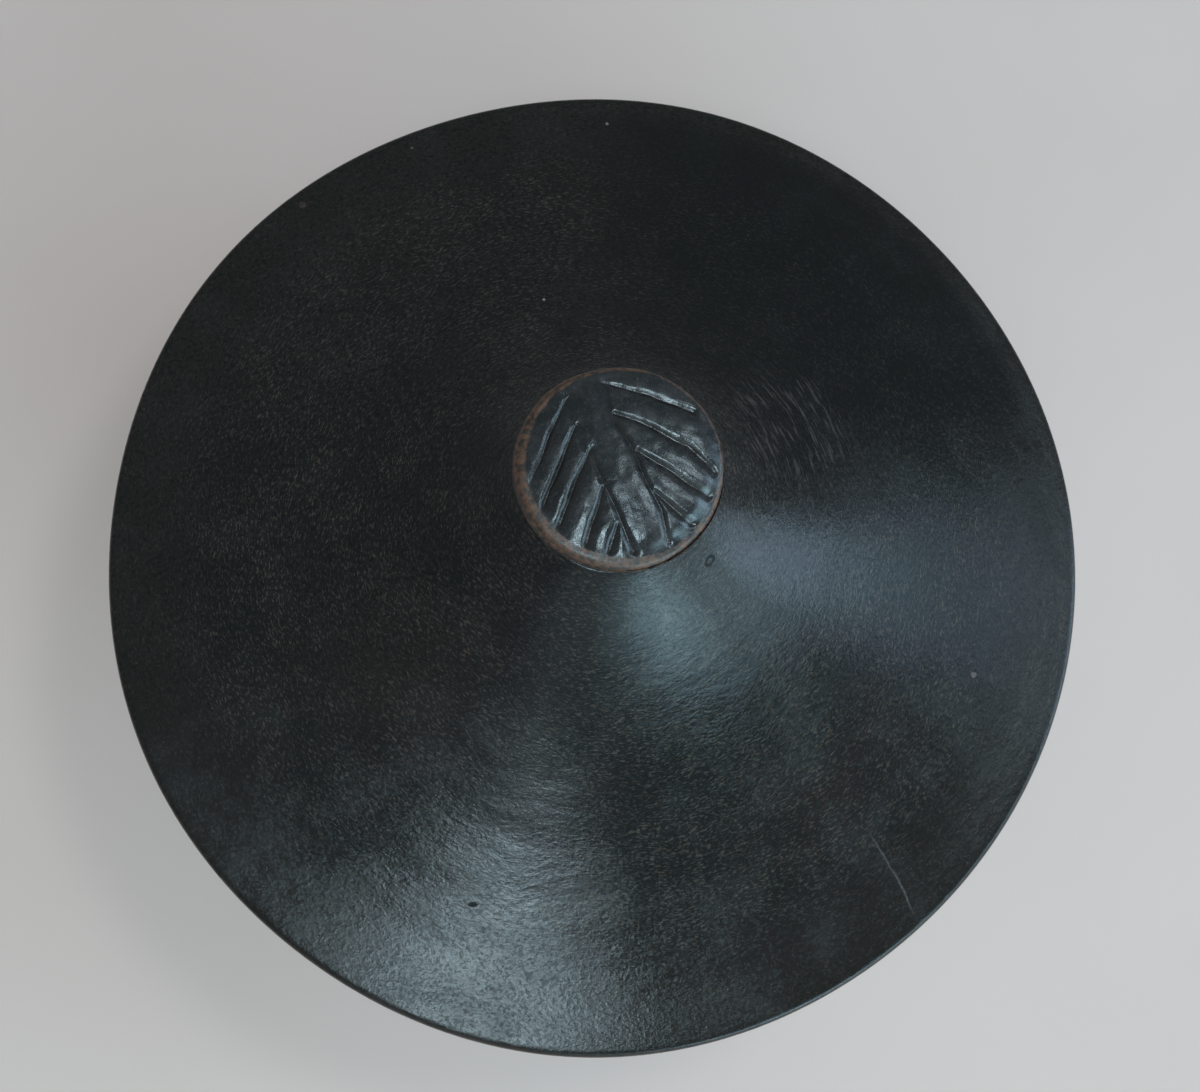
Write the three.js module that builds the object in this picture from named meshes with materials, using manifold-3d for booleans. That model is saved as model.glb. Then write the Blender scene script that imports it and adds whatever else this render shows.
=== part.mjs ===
// Covered earthenware dish, hand-built, smoked black and burnished.
// A round bowl stands on a coil of clay. A wide lid sits over its mouth, and a coil under the lid drops
// inside the lip. The lid's brim runs out nearly level, and its middle sweeps up to a waisted neck, which
// carries a thick round knob with a leaf carved in its top.
// Millimetres, +Z up. The origin is on the table, under the middle of the dish. The leaf points to -Y.

import * as THREE from "three";
import { mergeVertices } from "three/addons/utils/BufferGeometryUtils.js";
import Module from "manifold-3d";

// Dish
const dishHeight = 88; // table to the top of the lip
const dishRadius = 152; // outside of the lip
const dishWall = 9;
const dishFloor = 11;
const dishBelly = 40; // how far the wall stays upright under the lip
const dishTuck = 42; // how far the belly runs level before it meets the base
const dishBaseRadius = 83; // flat of the base

// Foot ring
const footRadius = 79;
const footWidth = 14;
const footHeight = 10;
const footTread = 8; // width of the flat that touches the table

// Lid
const lidRadius = 180;
const lidWall = 9;
const lidCrownRise = 73; // from the widest edge up to the flat that carries the neck
const lidCrownRadius = 27;
const lidCrownWall = 11;
const lidEdgeSlope = 8; // degrees, at the edge, where the brim runs out nearly level
const lidBrim = 38; // how far in from the edge the brim keeps near that slope
const lidSweepSlope = 49; // degrees, at the neck
const lidSweep = 58; // how far down from the neck the surface keeps near that slope

// The edge was trimmed by hand and wanders from a true circle: how far, in how many lobes, turned how far
const lidEdgeWander = [
  { swing: 1.66, lobes: 2, turn: 58 },
  { swing: 0.38, lobes: 3, turn: 5 },
  { swing: 0.24, lobes: 4, turn: 54 },
  { swing: 0.41, lobes: 5, turn: 43 },
  { swing: 0.26, lobes: 6, turn: 0 },
];

// Locating ring under the lid
const ringWidth = 9;
const ringDepth = 12; // how far it reaches down inside the lip

// Knob
const neckWaistRadius = 17;
const neckWaistHeight = 12;
const neckTopRadius = 23;
const neckHeight = 21;
const headRadius = 34;
const headUnderRadius = 27; // where the underside turns up
const headTopRadius = 31.5; // where the edge meets the carved top
const headEdgeHeight = 11.5;
const headDome = 4; // rise of the carved top from its edge to its middle

// Leaf carved in the knob's top
const leafRibWidthBase = 13.5;
const leafRibWidthTip = 10.5;
const leafVeinsLeft = 5;
const leafVeinsRight = 4;
const leafVeinPitchLeft = 11;
const leafVeinPitchRight = 13;
const leafFirstVein = 26.5; // from the middle of the knob, towards the base of the leaf
const leafVeinAngleBase = 47; // degrees from the rib
const leafVeinAngleTip = 34;
const leafBorder = 2.2; // plain border left round the carving
const cutWidth = 2.8;
const cutDepth = 1.3;

// Clearances
const lutedGap = 0.3; // between pieces of clay that were joined with slip
const seatGap = 0.35; // between the lip and the lid that rests on it
const mouthClearance = 3; // between the locating ring and the inside of the lip

// Smoothness
const aroundSteps = 72;
const curveSteps = 10;
const roundSteps = 5;

const wasm = await Module();
wasm.setup();

const point = (radius, height) => new THREE.Vector2(radius, height);
const radians = THREE.MathUtils.degToRad;

// Run of points on an arc about a middle, from one angle to another, both ends included
function arc(middle, radius, from, to) {
  const points = [];
  for (let k = 0; k <= roundSteps; k++) {
    const angle = THREE.MathUtils.lerp(from, to, k / roundSteps);
    points.push(point(middle.x + radius * Math.cos(angle), middle.y + radius * Math.sin(angle)));
  }
  return points;
}

// Inner face of a wall of even thickness whose outer face is a curve that climbs
function innerFace(curve, thickness) {
  return curve.getPoints(curveSteps).map((p, k) => {
    const climb = curve.getTangent(k / curveSteps);
    return point(p.x - climb.y * thickness, p.y + climb.x * thickness);
  });
}

// The stretch of a run of points up to where it reaches a height
function upToHeight(points, height) {
  const end = points.findIndex((p, k) => k > 0 && (p.y - height) * (points[0].y - height) <= 0);
  const a = points[end - 1];
  const b = points[end];
  const radius = THREE.MathUtils.mapLinear(height, a.y, b.y, a.x, b.x);
  return [...points.slice(0, end), point(radius, height)];
}

// Height of a run of points at a radius
function heightAt(points, radius) {
  const end = points.findIndex((p, k) => k > 0 && (p.x - radius) * (points[k - 1].x - radius) <= 0);
  const a = points[end - 1];
  const b = points[end];
  return THREE.MathUtils.mapLinear(radius, a.x, b.x, a.y, b.y);
}

// Radius of the two handles that make a curve pass through a radius halfway between its ends
const handleThrough = (halfway, start, end) => (8 * halfway - start - end) / 6;

// A solid of revolution about Z, from a profile that runs anticlockwise in radius and height
function turned(profile) {
  const geometry = new THREE.LatheGeometry(profile, aroundSteps);
  geometry.rotateX(Math.PI / 2);
  return geometry;
}

function named(name, geometry, material) {
  const mesh = new THREE.Mesh(geometry, material);
  mesh.name = name;
  return mesh;
}

const clay = (color, roughness) => new THREE.MeshStandardMaterial({ color, roughness, metalness: 0 });

// Dish bowl, from the base up to the lip and down again inside
const dishOuter = new THREE.CubicBezierCurve(
  point(dishBaseRadius, footHeight),
  point(dishBaseRadius + dishTuck, footHeight),
  point(dishRadius, dishHeight - dishWall / 2 - dishBelly),
  point(dishRadius, dishHeight - dishWall / 2),
);
const lip = arc(point(dishRadius - dishWall / 2, dishHeight - dishWall / 2), dishWall / 2, 0, Math.PI);
const dishFloorHeight = footHeight + dishFloor;

function dishBowl() {
  const inside = upToHeight(innerFace(dishOuter, dishWall).reverse(), dishFloorHeight);
  return turned([
    point(0, footHeight),
    ...dishOuter.getPoints(curveSteps),
    ...lip.slice(1),
    ...inside.slice(1),
    point(0, dishFloorHeight),
  ]);
}

// Foot ring, a coil pressed on under the base and flattened where it stands
function footRing() {
  const inner = footRadius - footWidth;
  const round = (footWidth - footTread) / 2;
  const top = footHeight - lutedGap;
  return turned([
    point(inner + round, 0),
    point(footRadius - round, 0),
    point(footRadius, round),
    point(footRadius, top),
    point(inner, top),
    point(inner, round),
    point(inner + round, 0),
  ]);
}

// Lid surface, from the edge up to the crown, with heights from the plane of the widest edge
const edgeSlope = radians(lidEdgeSlope);
const sweepSlope = radians(lidSweepSlope);
const edgeMiddle = point(lidRadius - lidWall / 2, 0);
const edge = arc(edgeMiddle, lidWall / 2, -Math.PI / 2 - edgeSlope, Math.PI / 2 - edgeSlope);
const edgeTop = edge[roundSteps];
const crown = point(lidCrownRadius, lidCrownRise);
const lidOuter = new THREE.CubicBezierCurve(
  edgeTop,
  point(edgeTop.x - lidBrim * Math.cos(edgeSlope), edgeTop.y + lidBrim * Math.sin(edgeSlope)),
  point(crown.x + lidSweep * Math.cos(sweepSlope), crown.y - lidSweep * Math.sin(sweepSlope)),
  crown,
);
const lidCeiling = lidCrownRise - lidCrownWall;
const lidInner = upToHeight(innerFace(lidOuter, lidWall), lidCeiling);

// The lid comes to rest where its underside meets the lip
const lidRise = Math.max(...lip.map((p) => p.y + seatGap - heightAt(lidInner, p.x)));

// Moves a turned surface outside the lip in and out, so that the edge wanders from a true circle
function trimmedByHand(geometry) {
  const positions = geometry.attributes.position;
  for (let k = 0; k < positions.count; k++) {
    const x = positions.getX(k);
    const y = positions.getY(k);
    const radius = Math.hypot(x, y);
    const around = Math.atan2(y, x);
    const share = THREE.MathUtils.smoothstep(radius, dishRadius, lidRadius);
    const wanders = lidEdgeWander.map((w) => w.swing * Math.cos(w.lobes * (around - radians(w.turn))));
    const scale = radius > 0 ? 1 + (share * wanders.reduce((a, b) => a + b)) / radius : 1;
    positions.setXY(k, x * scale, y * scale);
  }
  return geometry;
}

function lidShell() {
  return trimmedByHand(
    turned([
      point(0, lidCeiling),
      ...lidInner.toReversed(),
      ...edge.slice(1),
      ...lidOuter.getPoints(curveSteps).slice(1),
      point(0, lidCrownRise),
    ]),
  );
}

// Locating ring, a coil luted under the lid just inside the mouth of the dish, round underneath
function locatingRing() {
  const outer = dishRadius - dishWall - mouthClearance;
  const inner = outer - ringWidth;
  const low = dishHeight - ringDepth - lidRise + ringWidth / 2;
  const under = arc(point(outer - ringWidth / 2, low), ringWidth / 2, -Math.PI, 0);
  const radii = [outer, ...lidInner.map((p) => p.x).filter((x) => x < outer && x > inner), inner];
  const top = radii.map((x) => point(x, heightAt(lidInner, x) - lutedGap));
  return turned([...under, ...top, under[0]]);
}

// Neck of the knob, waisted so that fingers can hook under the head
function neck() {
  const handle = handleThrough(neckWaistRadius, lidCrownRadius, neckTopRadius);
  const side = new THREE.CubicBezierCurve(
    point(lidCrownRadius, 0),
    point(handle, neckWaistHeight),
    point(handle, neckWaistHeight),
    point(neckTopRadius, neckHeight),
  );
  return turned([point(0, 0), ...side.getPoints(curveSteps - 2), point(0, neckHeight)]);
}

// Height of the carved top of the head over a point on it
function topHeight(x, y) {
  const ball = (headTopRadius ** 2 + headDome ** 2) / (2 * headDome);
  return headEdgeHeight + headDome - ball + Math.sqrt(ball ** 2 - x ** 2 - y ** 2);
}

// Where a straight cut leaves the carved area
function cutEnd(start, heading) {
  const limit = headTopRadius - leafBorder;
  const middle = start.dot(heading);
  const reach = -middle + Math.sqrt(middle ** 2 - start.lengthSq() + limit ** 2);
  return start.clone().addScaledVector(heading, reach);
}

// One stroke of the knife: a V that follows the top of the head and runs out at both ends
function knifeStroke(start, end) {
  const heading = end.clone().sub(start).normalize();
  const left = new THREE.Vector2(-heading.y, heading.x);
  const above = 1;
  const flank = cutWidth / 2 / cutDepth;
  const stations = [
    { along: 0, depth: 0.15 },
    { along: 0.15, depth: 0.9 },
    { along: 0.5, depth: 1 },
    { along: 0.85, depth: 0.9 },
    { along: 1, depth: 0.15 },
  ];
  const corners = [];
  stations.forEach(({ along, depth }) => {
    const p = start.clone().lerp(end, along);
    const surface = topHeight(p.x, p.y);
    const half = flank * (above + depth * cutDepth);
    corners.push(p.x + left.x * half, p.y + left.y * half, surface + above);
    corners.push(p.x, p.y, surface - depth * cutDepth);
    corners.push(p.x - left.x * half, p.y - left.y * half, surface + above);
  });
  const faces = [0, 1, 2];
  for (let s = 0; s < stations.length - 1; s++) {
    for (let c = 0; c < 3; c++) {
      const p0 = s * 3 + c;
      const q0 = s * 3 + ((c + 1) % 3);
      faces.push(q0, p0, p0 + 3, q0, p0 + 3, q0 + 3);
    }
  }
  const last = (stations.length - 1) * 3;
  faces.push(last, last + 2, last + 1);
  const geometry = new THREE.BufferGeometry();
  geometry.setAttribute("position", new THREE.Float32BufferAttribute(corners, 3));
  geometry.setIndex(faces);
  return geometry;
}

// A closed geometry as a solid that can be cut
function solid(geometry) {
  const bare = new THREE.BufferGeometry();
  bare.setAttribute("position", geometry.attributes.position);
  bare.setIndex(geometry.index);
  const merged = mergeVertices(bare, 1e-4);
  const corners = merged.index.array;
  const kept = [];
  for (let k = 0; k < corners.length; k += 3) {
    const [a, b, c] = corners.slice(k, k + 3);
    if (a !== b && b !== c && c !== a) {
      kept.push(a, b, c);
    }
  }
  return new wasm.Manifold(
    new wasm.Mesh({
      numProp: 3,
      vertProperties: new Float32Array(merged.attributes.position.array),
      triVerts: new Uint32Array(kept),
    }),
  );
}

function geometryOf(manifold) {
  const mesh = manifold.getMesh();
  const geometry = new THREE.BufferGeometry();
  geometry.setAttribute("position", new THREE.Float32BufferAttribute(mesh.vertProperties, 3));
  geometry.setIndex(Array.from(mesh.triVerts));
  return geometry;
}

// The leaf: a broad rib between two long cuts, and veins that leave it on both sides
function leafStrokes() {
  const limit = headTopRadius - leafBorder;
  const ribHalf = (y) => THREE.MathUtils.mapLinear(y, limit, -limit, leafRibWidthBase, leafRibWidthTip) / 2;
  const halves = [
    { side: -1, veins: leafVeinsLeft, pitch: leafVeinPitchLeft },
    { side: 1, veins: leafVeinsRight, pitch: leafVeinPitchRight },
  ];
  const strokes = [];
  for (const { side, veins, pitch } of halves) {
    const ribMiddle = point(side * ribHalf(0), 0);
    const ribDown = point(side * (ribHalf(-1) - ribHalf(0)), -1).normalize();
    strokes.push(knifeStroke(cutEnd(ribMiddle, ribDown.clone().negate()), cutEnd(ribMiddle, ribDown)));
    for (let k = 0; k < veins; k++) {
      const y = leafFirstVein - k * pitch;
      const angle = radians(THREE.MathUtils.mapLinear(y, limit, -limit, leafVeinAngleBase, leafVeinAngleTip));
      const start = point(side * (ribHalf(y) + cutWidth / 2), y);
      const heading = point(side * Math.sin(angle), -Math.cos(angle));
      strokes.push(knifeStroke(start, cutEnd(start, heading)));
    }
  }
  return strokes;
}

// Head of the knob, a thick disc with a rounded edge and a carved, slightly domed top
function head() {
  const handle = handleThrough(headRadius, headUnderRadius, headTopRadius);
  const side = new THREE.CubicBezierCurve(
    point(headUnderRadius, 0),
    point(handle, 0),
    point(handle, headEdgeHeight),
    point(headTopRadius, headEdgeHeight),
  );
  const top = [];
  for (let k = 1; k <= roundSteps; k++) {
    const radius = headTopRadius * (1 - k / roundSteps);
    top.push(point(radius, topHeight(radius, 0)));
  }
  const blank = solid(turned([point(0, 0), ...side.getPoints(roundSteps + 1), ...top]));
  return geometryOf(leafStrokes().reduce((left, stroke) => left.subtract(solid(stroke)), blank));
}

const dish = new THREE.Group();
dish.add(named("dish_bowl", dishBowl(), clay(0x1c1b1a, 0.55)));
dish.add(named("dish_foot_ring", footRing(), clay(0x2a211b, 0.75)));

const knob = new THREE.Group();
const headMesh = named("knob_head", head(), clay(0x23211f, 0.42));
headMesh.position.z = neckHeight + lutedGap;
knob.add(named("knob_neck", neck(), clay(0x1b1a1a, 0.45)), headMesh);
knob.position.z = lidCrownRise + lutedGap;

const lid = new THREE.Group();
lid.add(named("lid_shell", lidShell(), clay(0x17191a, 0.42)));
lid.add(named("lid_locating_ring", locatingRing(), clay(0x1c1b1a, 0.6)));
lid.add(knob);
lid.position.z = lidRise;

const coveredDish = new THREE.Group();
coveredDish.add(dish, lid);

export default coveredDish;
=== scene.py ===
# Looks of the covered earthenware dish: smoked black clay, burnished, with a leaf carved in the
# knob. Sizes of the object are in millimetres and become metres where a mesh is made.

import math

import bpy
import numpy as np
from mathutils import Matrix, Vector


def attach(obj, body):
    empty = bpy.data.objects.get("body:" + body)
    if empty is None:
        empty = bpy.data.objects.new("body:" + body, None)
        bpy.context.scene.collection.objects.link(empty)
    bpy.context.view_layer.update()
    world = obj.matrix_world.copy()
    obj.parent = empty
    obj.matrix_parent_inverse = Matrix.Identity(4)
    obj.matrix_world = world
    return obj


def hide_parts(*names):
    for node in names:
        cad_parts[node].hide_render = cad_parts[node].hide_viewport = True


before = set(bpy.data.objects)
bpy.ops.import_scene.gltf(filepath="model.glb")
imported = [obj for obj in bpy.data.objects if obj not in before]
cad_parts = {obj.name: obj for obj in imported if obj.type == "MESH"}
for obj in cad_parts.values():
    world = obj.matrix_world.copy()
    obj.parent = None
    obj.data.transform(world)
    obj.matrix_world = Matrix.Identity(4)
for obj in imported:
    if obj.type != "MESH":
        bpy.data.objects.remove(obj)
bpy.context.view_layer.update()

MM = 0.001

# Dish and foot ring
DISH_HEIGHT = 88.0  # table to the top of the lip
DISH_RADIUS = 152.0  # outside of the lip
DISH_WALL = 9.0
DISH_FLOOR = 11.0
DISH_BELLY = 40.0  # how far the wall stays upright under the lip
DISH_TUCK = 42.0  # how far the belly runs level before it meets the base
DISH_BASE_RADIUS = 83.0  # flat of the base
FOOT_RADIUS = 79.0
FOOT_WIDTH = 14.0
FOOT_HEIGHT = 10.0
FOOT_TREAD = 8.0  # width of the flat that touches the table

# Lid
LID_RISE = 87.755  # table to the middle of the lid's edge
LID_RADIUS = 180.0
LID_WALL = 9.0
CROWN_RISE = 73.0  # from there up to the flat that carries the neck
CROWN_RADIUS = 27.0
CROWN_WALL = 11.0
EDGE_SLOPE = math.radians(8)
BRIM = 38.0  # how far in from the edge the brim keeps near that slope
SWEEP_SLOPE = math.radians(49)  # at the neck
SWEEP = 58.0  # how far down from the neck the surface keeps near that slope
EDGE_CORNER = 0.55  # the upper corner of the edge: 1 is a full round, less is tighter
EDGE_INSET = 0.42  # keeps the wandering edge inside the solid's box
# How far the hand-trimmed edge wanders from a circle, in how many lobes, turned how far
EDGE_WANDER = ((1.66, 2, 58), (0.38, 3, 5), (0.24, 4, 54), (0.41, 5, 43), (0.26, 6, 0))
RING_OUTER = 140.0
RING_WIDTH = 9.0
RING_LOW = 76.0  # table to the lowest point of the ring under the lid

# Knob
LUTED_GAP = 0.3  # between pieces of the solid part that were joined with slip
NECK_FOOT = LID_RISE + CROWN_RISE
NECK_HEIGHT = 21.0
NECK_WAIST_RADIUS = 17.0
NECK_WAIST_HEIGHT = 12.0
NECK_TOP_RADIUS = 23.0
HEAD_FOOT = NECK_FOOT + NECK_HEIGHT + 2 * LUTED_GAP
HEAD_RADIUS = 34.0
HEAD_UNDER_RADIUS = 27.0  # where the underside turns up
HEAD_TOP_RADIUS = 31.5  # where the edge meets the carved top
HEAD_EDGE_HEIGHT = 11.5
HEAD_DOME = 4.0  # rise of the carved top from its edge to its middle
# The carved top sits a little off the middle of the knob
CARVED_SHIFT = (1.3, 0.2)

# Points round the axis of each skin
LID_STEPS = 540
RING_STEPS = 300
NECK_STEPS = 240
HEAD_STEPS = 600
DISH_STEPS = 360
FOOT_STEPS = 300


# Helpers for shapes


def bezier(points, count):
    """Points along a cubic curve."""
    t = np.linspace(0, 1, count)[:, None]
    p = np.array(points, float)
    s = 1 - t
    return s**3 * p[0] + 3 * t * s**2 * p[1] + 3 * t**2 * s * p[2] + t**3 * p[3]


def bezier_heading(points, count):
    """The way the curve runs at each of those points."""
    t = np.linspace(0, 1, count)[:, None]
    p = np.array(points, float)
    s = 1 - t
    d = s**2 * (p[1] - p[0]) + 2 * t * s * (p[2] - p[1]) + t**2 * (p[3] - p[2])
    return d / np.linalg.norm(d, axis=1)[:, None]


def inner_face(points, thickness, count):
    """The curve moved sideways by the wall's thickness."""
    h = bezier_heading(points, count)
    return bezier(points, count) + thickness * np.c_[-h[:, 1], h[:, 0]]


def arc(middle, radius, start, end, count):
    a = np.linspace(start, end, count)
    return np.c_[middle[0] + radius * np.cos(a), middle[1] + radius * np.sin(a)]


def run(start, end, count):
    """Evenly spaced points from start to end, both ends left out."""
    t = np.linspace(0, 1, count + 2)[1:-1, None]
    return np.array(start) * (1 - t) + np.array(end) * t


def smooth(x, low, high):
    """0 below low, 1 above high, eased between."""
    t = np.clip((x - low) / (high - low), 0, 1)
    return t * t * (3 - 2 * t)


def spline_weights(t):
    """How much each of four neighbours counts in a smooth curve through a grid."""
    return (
        (1 - t) ** 3 / 6,
        (3 * t**3 - 6 * t**2 + 4) / 6,
        (-3 * t**3 + 3 * t**2 + 3 * t + 1) / 6,
        t**3 / 6,
    )


def soft_noise(seed, u, v, cells_u, cells_v):
    """Smooth noise of about -1 to 1. u and v run from 0 to 1, and u joins up with itself."""
    grid = np.random.default_rng(seed).uniform(-1.6, 1.6, (cells_u, cells_v + 4))
    a = (u % 1) * cells_u
    b = np.clip(v, 0, 1) * cells_v
    i = np.floor(a).astype(int)
    j = np.minimum(np.floor(b).astype(int), cells_v - 1)
    total = 0
    for p, wa in enumerate(spline_weights(a - i)):
        for q, wb in enumerate(spline_weights(b - j)):
            total = total + wa * wb * grid[(i + p) % cells_u, j + q]
    return total


def revolve(profile, steps):
    """Radius, height and angle at each point of a turned surface, in rings."""
    around = np.arange(steps) * 2 * math.pi / steps
    radius = np.repeat(profile[:, 0][:, None], steps, 1)
    height = np.repeat(profile[:, 1][:, None], steps, 1)
    return radius, height, np.repeat(around[None, :], len(profile), 0)


def add_mesh(name, points, faces):
    """An object with smooth shading, linked to the scene."""
    mesh = bpy.data.meshes.new(name)
    mesh.from_pydata(points, [], faces)
    mesh.update()
    mesh.polygons.foreach_set("use_smooth", np.ones(len(mesh.polygons), bool))
    piece = bpy.data.objects.new(name, mesh)
    bpy.context.scene.collection.objects.link(piece)
    return piece


def band(a, b, steps):
    """The faces between the ring of points that starts at a and the one that starts at b."""
    k = np.arange(steps)
    after = (k + 1) % steps
    return np.c_[a + k, b + k, b + after, a + after].tolist()


def skin(name, x, y, z):
    """A closed mesh from rings of points in mm. The first and the last ring close to a point.

    The rings run down the outside and up the inside, so that the faces look outwards.
    """
    rings, steps = x.shape
    body = np.stack([x, y, z], -1).reshape(-1, 3)
    ends = np.array([body[:steps].mean(0), body[-steps:].mean(0)])
    points = np.r_[body, ends] * MM
    faces = []
    for r in range(rings - 1):
        faces.extend(band(r * steps, (r + 1) * steps, steps))
    k = np.arange(steps)
    after = (k + 1) % steps
    first_end = rings * steps
    last_end = first_end + 1
    last = (rings - 1) * steps
    faces.extend(np.c_[k, after, np.full(steps, first_end)].tolist())
    faces.extend(np.c_[last + after, last + k, np.full(steps, last_end)].tolist())
    return add_mesh(name, points.tolist(), faces)


def tube(name, x, y, z):
    """A ring-shaped closed mesh. The last ring of points lies on the first and is left out."""
    rings, steps = x.shape
    rings -= 1
    points = np.stack([x, y, z], -1)[:-1].reshape(-1, 3) * MM
    faces = []
    for r in range(rings):
        faces.extend(band(r * steps, (r + 1) % rings * steps, steps))
    return add_mesh(name, points.tolist(), faces)


def keep(piece, name, values):
    """Stores a number for each point of a skin, for its material to read."""
    kept = piece.data.attributes.new(name, "FLOAT", "POINT")
    ends = np.array([values[0].mean(), values[-1].mean()])
    kept.data.foreach_set("value", np.r_[values.reshape(-1), ends].astype(np.float32))


def round_place(radius, angle):
    """X and Y of points at a radius and an angle."""
    return radius * np.cos(angle), radius * np.sin(angle)


# Lid


def edge_wander(angle):
    """How far the lid's edge lies outside a circle."""
    return sum(s * np.cos(n * (angle - math.radians(t))) for s, n, t in EDGE_WANDER)


edge_top = (
    LID_RADIUS - LID_WALL / 2 + LID_WALL / 2 * math.sin(EDGE_SLOPE),
    LID_WALL / 2 * math.cos(EDGE_SLOPE),
)
LID_CURVE = (
    edge_top,
    (edge_top[0] - BRIM * math.cos(EDGE_SLOPE), edge_top[1] + BRIM * math.sin(EDGE_SLOPE)),
    (CROWN_RADIUS + SWEEP * math.cos(SWEEP_SLOPE), CROWN_RISE - SWEEP * math.sin(SWEEP_SLOPE)),
    (CROWN_RADIUS, CROWN_RISE),
)


def lid_edge():
    """The turned-over edge: a tight corner above, a full round below."""
    t = np.linspace(math.pi / 2, -math.pi / 2, 27)
    power = np.where(t > 0, EDGE_CORNER, 1.0)
    out = np.maximum(np.cos(t), 0) ** power
    rise = np.sign(t) * np.abs(np.sin(t)) ** power
    c, d = math.cos(EDGE_SLOPE), math.sin(EDGE_SLOPE)
    half = LID_WALL / 2
    return np.c_[LID_RADIUS - half + half * (out * c + rise * d), half * (rise * c - out * d)]


def lid_skin():
    top = bezier(LID_CURVE, 104)[::-1]
    edge = lid_edge()
    inside = inner_face(LID_CURVE, LID_WALL, 40)
    ceiling = CROWN_RISE - CROWN_WALL
    inside = inside[inside[:, 1] < ceiling - 1]
    profile = np.r_[
        [[3, CROWN_RISE - 3]],
        run((3, CROWN_RISE - 3), (CROWN_RADIUS - 2, CROWN_RISE - 0.6), 3),
        top,
        edge[1:],
        inside[1:],
        [[24, ceiling], [12, ceiling], [1.5, ceiling]],
    ]
    radius, height, angle = revolve(profile, LID_STEPS)
    past_top = np.arange(len(profile))[:, None] - len(top) + 0 * radius
    outside = smooth(-past_top, -4, 4)
    # the clay was beaten and pulled by hand, so the surface swells and dips a little
    turn = angle / (2 * math.pi)
    reach = np.clip(radius / LID_RADIUS, 0, 1)
    swell = 0.55 * soft_noise(3, turn, reach, 7, 5) + 0.22 * soft_noise(4, turn, reach, 15, 9)
    # facets left by the burnishing stone, long round the lid and narrow across it
    strokes = 0.07 * soft_noise(5, turn + 0.02 * np.sin(9 * reach), reach, 38, 34)
    strokes += 0.035 * soft_noise(6, turn, reach, 90, 60)
    fade = outside * smooth(radius, 26, 60) * (1 - smooth(radius, 152, 178))
    # the swells are sunk a little, so that few of them stand above the solid
    height = height + fade * (swell - 0.35) + outside * smooth(radius, 24, 34) * strokes
    share = smooth(radius, DISH_RADIUS, LID_RADIUS)
    radius = radius + share * (edge_wander(angle) - EDGE_INSET)
    x, y = round_place(radius, angle)
    piece = skin("lid_skin", x, y, height + LID_RISE)
    keep(piece, "outside", outside)
    return piece


def ring_skin():
    inside = inner_face(LID_CURVE, LID_WALL, 60)[::-1]
    inner = RING_OUTER - RING_WIDTH
    half = RING_WIDTH / 2
    under = arc((RING_OUTER - half, RING_LOW + half - LID_RISE), half, 0, -math.pi, 14)
    top_radii = np.linspace(inner - 3.5, RING_OUTER + 3, 8)
    top = np.c_[top_radii, np.interp(top_radii, inside[:, 0], inside[:, 1]) + 0.6]
    # clay smeared into the corner on both sides of the coil
    left = under[-1] + np.array([[0, 2.5], [-1.0, 5.0]])
    right = under[0] + np.array([[1.0, 3.2], [0, 1.5]])
    profile = np.r_[top, right, under, left, top[:1]]
    radius, height, angle = revolve(profile, RING_STEPS)
    turn = angle / (2 * math.pi)
    low = 1 - smooth(height, RING_LOW - LID_RISE, RING_LOW - LID_RISE + 12)
    height = height + low * 0.3 * (soft_noise(11, turn, 0.5 + 0 * turn, 24, 1) + 1)
    radius = radius + 0.4 * soft_noise(12, turn, 0.5 + 0 * turn, 18, 1)
    x, y = round_place(radius, angle)
    return tube("ring_skin", x, y, height + LID_RISE)


# Knob


def handle_through(halfway, start, end):
    """Where both handles of a curve lie for it to pass there halfway."""
    return (8 * halfway - start - end) / 6


def neck_skin():
    handle = handle_through(NECK_WAIST_RADIUS, CROWN_RADIUS, NECK_TOP_RADIUS)
    top = HEAD_FOOT - NECK_FOOT
    waist = (handle, NECK_WAIST_HEIGHT)
    side = bezier(((CROWN_RADIUS, 0), waist, waist, (NECK_TOP_RADIUS, top + 0.4)), 44)
    # the foot runs on down into the lid, so that the two read as one piece of clay
    foot = np.array([[CROWN_RADIUS + 2.4, -3.2], [CROWN_RADIUS + 1.2, -1.25]])
    profile = np.r_[
        [[2, -6], [CROWN_RADIUS - 3, -6]],
        foot,
        side[1:],
        [[12, top + 0.6], [2, top + 0.6]],
    ]
    radius, height, angle = revolve(profile[::-1], NECK_STEPS)
    turn = angle / (2 * math.pi)
    middle = smooth(height, 0, 5) * (1 - smooth(height, top - 4, top))
    radius = radius + middle * 0.35 * soft_noise(21, turn, height / 30 + 0.2, 9, 4)
    x, y = round_place(radius, angle)
    return skin("neck_skin", x, y, height + NECK_FOOT)


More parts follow.
